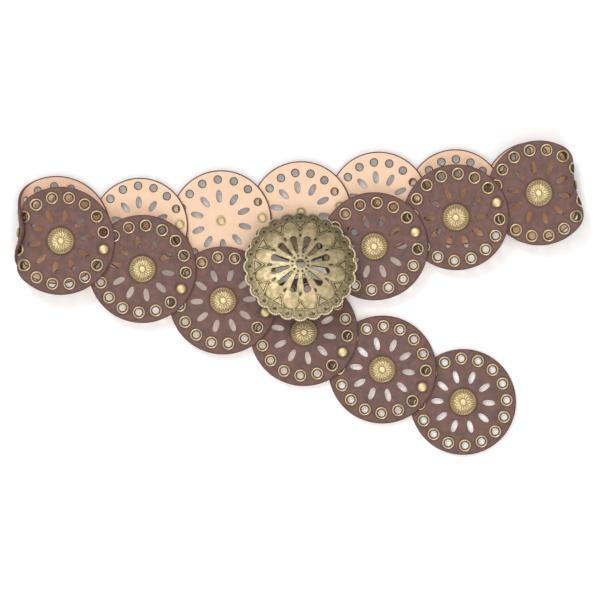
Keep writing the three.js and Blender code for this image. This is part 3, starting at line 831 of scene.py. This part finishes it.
def relief(x, y):
    """The stamped height in mm and how dark a point of the buckle's dome is: patina in the marks, painted
    shade on the lobes' flanks and in the valleys.
    """
    radius, around = math.hypot(x, y), math.degrees(math.atan2(y, x))
    sector, scallop = 360 / SECTORS, 360 / SCALLOPS
    off_axis = (around + sector / 2) % sector - sector / 2
    off_slot = around % sector - sector / 2
    off_dot = (around + scallop / 2) % scallop - scallop / 2
    aside = radius * math.radians(abs(off_axis))
    if radius > RIM_BAND:
        from_dot = math.hypot(radius - DOT_RING, radius * math.radians(off_dot))
        if from_dot < DOT_RADIUS:
            return DOT
        if radius > DOT_RING - CRESCENT_REACH and CRESCENT_START < from_dot < CRESCENT_END:
            return CRESCENT
        return BAND
    if radius > RIM_BAND - BAND_GROOVE:
        return GROOVE
    if DASH_START < radius < DASH_END and aside < DASH_SIDE:
        return DASH
    if radius > LOBE_START:
        return lobe_relief(radius, radius * math.radians(abs(off_slot)))
    if math.hypot(radius - HUB_DOT_RING, radius * math.radians(off_slot)) < HUB_DOT_RADIUS:
        return HUB_DOT
    return HUB if radius < HUB_RIM else PLAIN


def lobe_relief(radius, reach):
    """The height of the lobes and the valleys, with painted shade: a little on the lobes' flanks, more in the
    valleys. reach is from the lobe's axis.
    """
    rise = min(1.0, (radius - LOBE_START) / LOBE_RISE)
    rounding = math.sqrt(max(0.0, 1 - (max(0.0, radius - LOBE_MIDDLE) / LOBE_LENGTH) ** 2))
    width = LOBE_WIDTH * rounding * min(1.0, radius / LOBE_MIDDLE)
    if reach < width:
        share = reach / width
        return rise * (0.1 + 0.4 * math.sqrt(1 - share**2)), 0.1 * rise * share**4
    return -0.1 * rise, 0.24 * rise


def from_slot(x, y):
    """How far a point of the face is from the outline of the nearest slot or of the middle hole, in mm."""
    radius, around = math.hypot(x, y), math.degrees(math.atan2(y, x))
    sector = 360 / SECTORS
    off = math.radians(around % sector - sector / 2)
    along, aside = radius * math.cos(off), radius * abs(math.sin(off))
    share = min(1.0, max(0.0, (along - SLOT_START) / (SLOT_END - SLOT_START)))
    spine = SLOT_START + (SLOT_END - SLOT_START) * share
    reach = math.hypot(along - spine, aside) - (SLOT_NARROW + (SLOT_WIDE - SLOT_NARROW) * share)
    return min(reach, radius - HUB_HOLE)


class BELT_OT_buckle_concho(bpy.types.Operator):
    """Makes the scalloped, pierced and stamped buckle concho with its tab and hook"""

    bl_idname = "belt.buckle_concho"
    bl_label = "Buckle concho"

    def execute(self, context):
        buckle = context.scene.belt_buckle
        self.rim, self.dome, self.sheet = buckle.radius / MM, buckle.dome / MM, buckle.sheet / MM
        place = self.rim_frame(buckle)
        shell = self.shell()
        beads, triangles, fittings = self.beads(), self.triangles(), self.fittings(place)
        for part in (shell, *triangles, *fittings):
            part.data.materials.append(finish_of("worn_brass"))
        beads.data.materials.append(finish_of("bright_edge"))
        trim = joined([beads, *triangles], "buckle_trim")
        for part in (trim, shell):
            part.data.transform(place)
        piece = smoothed(joined([shell, trim, *fittings], "buckle_face"), 40)
        finished(piece, "aged_brass", "buckle_concho")
        return {"FINISHED"}

    def height(self, radius):
        """The height of the dome's face over its rim plane, in mm."""
        share = min(1.0, radius / (self.rim * DOME_END))
        return self.sheet + self.dome * (1 - share**2) ** DOME_POWER

    def rim_frame(self, buckle):
        """The frame of the tilted rim plane, with Z out of the dome."""
        z = Vector((0, math.sin(buckle.tilt), math.cos(buckle.tilt)))
        x = Vector((1, 0, 0))
        turn = Matrix((x, z.cross(x), z)).transposed().to_4x4()
        return Matrix.Translation(Vector(buckle.place)) @ turn

    def on_dome(self, radius, degrees):
        """A place on the dome, with Z out of it and X outwards."""
        slope = math.atan2(self.height(radius + 0.5) - self.height(radius - 0.5), 1)
        spot = round_place(radius * MM, degrees, self.height(radius) * MM)
        return spot @ Matrix.Rotation(-slope, 4, "Y")

    def edge_radius(self, degrees):
        """The scalloped outline."""
        half = 180 / SCALLOPS
        off = abs((degrees + half) % (2 * half) - half) / half
        return self.rim * (NOTCH + (1 - NOTCH) * max(0.0, 1 - off**2) ** SCALLOP_POWER)

    def shell(self):
        """The dome, drawn inwards ring by ring over the face and back out underneath."""
        radii = [self.rim - i * RELIEF_STEP for i in range(RELIEF_ROWS)]
        radii += [radii[-1] - i * FACE_STEP for i in range(1, FACE_ROWS + 1)]
        while radii[-1] > HUB_END:
            radii.append(radii[-1] - HUB_STEP)
        face = [(radius, self.height(radius)) for radius in radii]
        under = [(radius, self.height(radius) - self.sheet) for radius in radii[::-UNDER_ROWS]]
        shell = turned("buckle_shell", [*face, *under, (self.rim, 0), face[0]], SHELL_SIDES)
        for vertex in shell.data.vertices:
            self.stamp(vertex)
        cutters = [self.slot_punch(i) for i in range(SECTORS)]
        cutters.append(bar("hole_punch", 40, HUB_HOLE * MM, 0.04))
        cut_out(shell, cutters)
        darkened(shell, self.patina)
        return shell

    def stamp(self, vertex):
        """Moves a point of the plain dome to the relief and the scalloped outline."""
        x, y = vertex.co.x / MM, vertex.co.y / MM
        radius = math.hypot(x, y)
        on_face = vertex.co.z / MM > self.height(radius) - self.sheet / 2
        if on_face and radius < self.rim - EDGE_WIDTH:
            vertex.co.z += relief(x, y)[0] * MM
        if radius > self.rim * SCALLOP_START:
            share = (radius / self.rim - SCALLOP_START) / (1 - SCALLOP_START)
            edge = self.edge_radius(math.degrees(math.atan2(y, x))) / self.rim
            vertex.co.xy *= 1 + (edge - 1) * share

    def patina(self, index, at):
        """Painted shade at the edge, underneath, along the slots and towards the far side; patina in the
        marks.
        """
        x, y, z = at / MM
        radius = math.hypot(x, y)
        if radius > self.rim - EDGE_WIDTH:
            return 0.6
        if z < self.height(radius) - SHADED_DEPTH:
            return 1.0
        if radius < RIM_BAND and from_slot(x, y) < SLOT_SHADE:
            return 0.95 if from_slot(x, y) < SLOT_LINE else 0.4
        # Painted shade that grows towards the far side, at +Y
        return max(0.0, relief(x, y)[1] + 0.07 * y / self.rim)

    def slot_punch(self, i):
        """A teardrop slot: a round bar at each end, drawn together."""
        punch = bar("slot_punch", 32, SLOT_WIDE * MM, 0.04)
        for vertex in punch.data.vertices:
            if vertex.co.x < 0:
                vertex.co.x = vertex.co.x * SLOT_NARROW / SLOT_WIDE - (SLOT_END - SLOT_START) * MM
                vertex.co.y *= SLOT_NARROW / SLOT_WIDE
        punch.data.transform(round_place(SLOT_END * MM, (i + 0.5) * 360 / SECTORS))
        return punch

    def beads(self):
        """The beaded edge of the scallops, with painted shade on its far side."""
        bpy.ops.object.select_all(action="DESELECT")
        bpy.ops.mesh.primitive_uv_sphere_add(segments=10, ring_count=6, radius=BEAD_RADIUS * MM)
        bead = named("bead")
        beads = []
        count = SCALLOPS * BEADS_PER_SCALLOP
        for i in range(count):
            degrees = (i + 0.5) * 360 / count
            radius = self.edge_radius(degrees) - BEAD_INSET
            place = round_place(radius * MM, degrees, (self.sheet + BEAD_LIFT) * MM)
            beads.append(copied(bead, place))
            # Painted shade on the far side of the edge
            far_shade = 0.1 + 0.6 * max(0.0, math.sin(math.radians(degrees))) ** 1.5
            darkened(beads[-1], lambda i, at: far_shade)
        removed(bead)
        return joined(beads, "beads")

    def triangles(self):
        """A raised frame round a smaller triangle, on dark ground, over each axis of the pattern."""
        ground = self.triangle(TRIANGLE_GROUND, 0.22)
        border = self.triangle(TRIANGLE_FRAME, 0.5, wall=0.6, floor=0.24)
        middle = self.triangle(TRIANGLE_MIDDLE, 0.5)
        darkened(ground, lambda i, at: 0.95)
        for part in (border, middle):
            darkened(part, lambda i, at: 0.05 if at.z > 0.00045 else 0.95)
        model = joined([ground, border, middle], "triangle")
        model.data.transform(Matrix.Diagonal((TRIANGLE_FLATNESS, 1, 1, 1)))
        copies = [copied(model, self.on_dome(TRIANGLE_RING, i * 360 / SECTORS)) for i in range(SECTORS)]
        removed(model)
        return copies

    def triangle(self, radius, top, wall=0.0, floor=0.0):
        """A triangle that points inwards. With a wall, its middle is sunk to the height of the floor."""
        depth = 1.2
        piece = bar("triangle", 3, radius * MM, depth * MM)
        drop = Matrix.Translation((0, 0, (top - depth / 2) * MM))
        piece.data.transform(drop @ Matrix.Rotation(math.pi / 2, 4, "Z"))
        if wall:
            bpy.context.tool_settings.mesh_select_mode = (False, False, True)
            for face in piece.data.polygons:
                face.select = face.normal.z > 0.9
            bpy.ops.object.mode_set(mode="EDIT")
            bpy.ops.mesh.inset(thickness=wall * MM)
            bpy.ops.mesh.extrude_region_move(TRANSFORM_OT_translate={"value": (0, 0, (floor - top) * MM)})
            bpy.ops.object.mode_set(mode="OBJECT")
        return piece

    def fittings(self, base):
        """The tab that the first disc is riveted to, its post, and the hook, which points the other way."""
        tab = rivet_place(1, -1)
        hook = base @ Matrix.Rotation(math.pi, 4, "Z")
        hook_level = -1.5
        parts = [
            self.strip(tab, (4.25, 0, TAB_BOTTOM + TAB_SHEET / 2), (18.5, 10, TAB_SHEET)),
            self.post(tab, 6.5, TAB_BOTTOM, 13.3),
            self.strip(hook, (22, 0, hook_level), (12, 5, TAB_SHEET)),
            self.post(hook, 26, hook_level, 4.2),
        ]
        for part in parts:
            darkened(part, lambda i, at: 0.35)
        return parts

    def strip(self, place, middle, size):
        """A flat bar of sheet. Its middle and its size are in mm."""
        bpy.ops.object.select_all(action="DESELECT")
        bpy.ops.mesh.primitive_cube_add(size=1)
        part = named("strip")
        stretch = Matrix.Diagonal((*(Vector(size) * MM), 1))
        part.data.transform(Matrix.Translation(Vector(middle) * MM) @ stretch)
        modified(part, "BEVEL", width=0.0004, segments=2)
        part.data.transform(place)
        return part

    def post(self, place, reach, bottom, top):
        """A round post at a reach along X, between two heights in mm."""
        part = bar("post", 24, 0.002, (top - bottom) * MM)
        modified(part, "BEVEL", width=0.0003, segments=2, limit_method="ANGLE")
        part.data.transform(place @ Matrix.Translation((reach * MM, 0, (top + bottom) / 2 * MM)))
        return part


# The stage, in metres and in mm of the camera's film
FLOOR_SIZE, FLOOR_DROP = 12, 0.0001
CAMERA_X, CAMERA_Y = 0.00061, -0.00137
FILM_WIDTH = 36
# The lights: their place, their width and the setting that holds their power
LIGHTS = {
    "overhead_light": ((-0.8, 0.6, 7.5), 10, "sky_power"),
    "key_light": ((-1.6, 2.4, 4.2), 1.6, "key_power"),
    "fill_light": ((0.9, -3.0, 3.2), 2.4, "fill_power"),
}


class BELT_OT_stage(bpy.types.Operator):
    """Sets the floor, the soft lights and the camera"""

    bl_idname = "belt.stage"
    bl_label = "Stage"

    def execute(self, context):
        stage = context.scene.belt_stage
        self.floor(stage)
        self.camera(context, stage)
        for name, (place, width, setting) in LIGHTS.items():
            self.light(context, name, place, width, getattr(stage, setting))
        self.surround(context, stage.surround)
        context.scene.view_settings.view_transform = "Standard"
        return {"FINISHED"}

    def floor(self, stage):
        bpy.ops.object.select_all(action="DESELECT")
        bpy.ops.mesh.primitive_plane_add(size=FLOOR_SIZE, location=(0, 0, -FLOOR_DROP))
        floor = named("floor")
        finish = Finish("pale_floor")
        colour = tuple(stage.floor_colour)
        tint = finish.spots(FLOOR_DRIFT)
        finish.put("Base Color", finish.between(tint, tinted(colour, (0.99, 0.99, 0.99)), colour))
        finish.put("Roughness", 0.9)
        finish.put("Specular IOR Level", 0.1)
        finish.put("Emission Color", (1, 1, 1, 1))
        finish.put("Emission Strength", stage.floor_glow)
        floor.data.materials.append(finish.material)

    def camera(self, context, stage):
        """A camera that looks straight down from far above."""
        data = bpy.data.cameras.new("belt_camera")
        data.sensor_width = FILM_WIDTH
        data.lens = FILM_WIDTH * stage.view_height / stage.view_width
        data.clip_start, data.clip_end = 0.1, 100
        camera = bpy.data.objects.new("belt_camera", data)
        camera.location = (CAMERA_X, CAMERA_Y, stage.view_height)
        context.scene.collection.objects.link(camera)
        context.scene.camera = camera

    def light(self, context, name, place, width, power):
        """A round soft light that shines at the origin."""
        data = bpy.data.lights.new(name, "AREA")
        data.shape = "DISK"
        data.size = width
        data.energy = power
        lamp = bpy.data.objects.new(name, data)
        lamp.location = place
        lamp.rotation_euler = (-Vector(place)).to_track_quat("-Z", "Y").to_euler()
        context.scene.collection.objects.link(lamp)

    def surround(self, context, strength):
        world = bpy.data.worlds.new("studio")
        world.use_nodes = True
        background = world.node_tree.nodes["Background"]
        background.inputs["Color"].default_value = (1, 1, 1, 1)
        background.inputs["Strength"].default_value = strength
        context.scene.world = world


class BELT_PT_panel(bpy.types.Panel):
    """The belt's pieces, sizes and colours"""

    bl_idname = "BELT_PT_panel"
    bl_label = "Concho belt"
    bl_space_type = "VIEW_3D"
    bl_region_type = "UI"
    bl_category = "Belt"

    def draw(self, context):
        for operator in OPERATORS:
            self.layout.operator(operator.bl_idname)
        for key in GROUPS:
            group = getattr(context.scene, key)
            box = self.layout.box()
            for name in group.__annotations__:
                box.prop(group, name)


GROUPS = {
    "belt_leather": BeltLeather,
    "belt_metal": BeltMetal,
    "belt_buckle": BeltBuckle,
    "belt_stage": BeltStage,
}
OPERATORS = (
    BELT_OT_leather_discs,
    BELT_OT_eyelets,
    BELT_OT_centre_conchos,
    BELT_OT_link_rivets,
    BELT_OT_buckle_concho,
    BELT_OT_stage,
)


CLASSES = (*GROUPS.values(), *OPERATORS, BELT_PT_panel)


def register():
    for kind in CLASSES:
        bpy.utils.register_class(kind)
    for key, group in GROUPS.items():
        setattr(bpy.types.Scene, key, PointerProperty(type=group))


def unregister():
    for key in GROUPS:
        delattr(bpy.types.Scene, key)
    for kind in reversed(CLASSES):
        bpy.utils.unregister_class(kind)


def main():
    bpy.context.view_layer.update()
    register()
    bpy.ops.belt.leather_discs()
    bpy.ops.belt.eyelets()
    bpy.ops.belt.centre_conchos()
    bpy.ops.belt.link_rivets()
    bpy.ops.belt.buckle_concho()
    bpy.ops.belt.stage()
    bpy.context.view_layer.update()


if __name__ == "__main__":
    main()
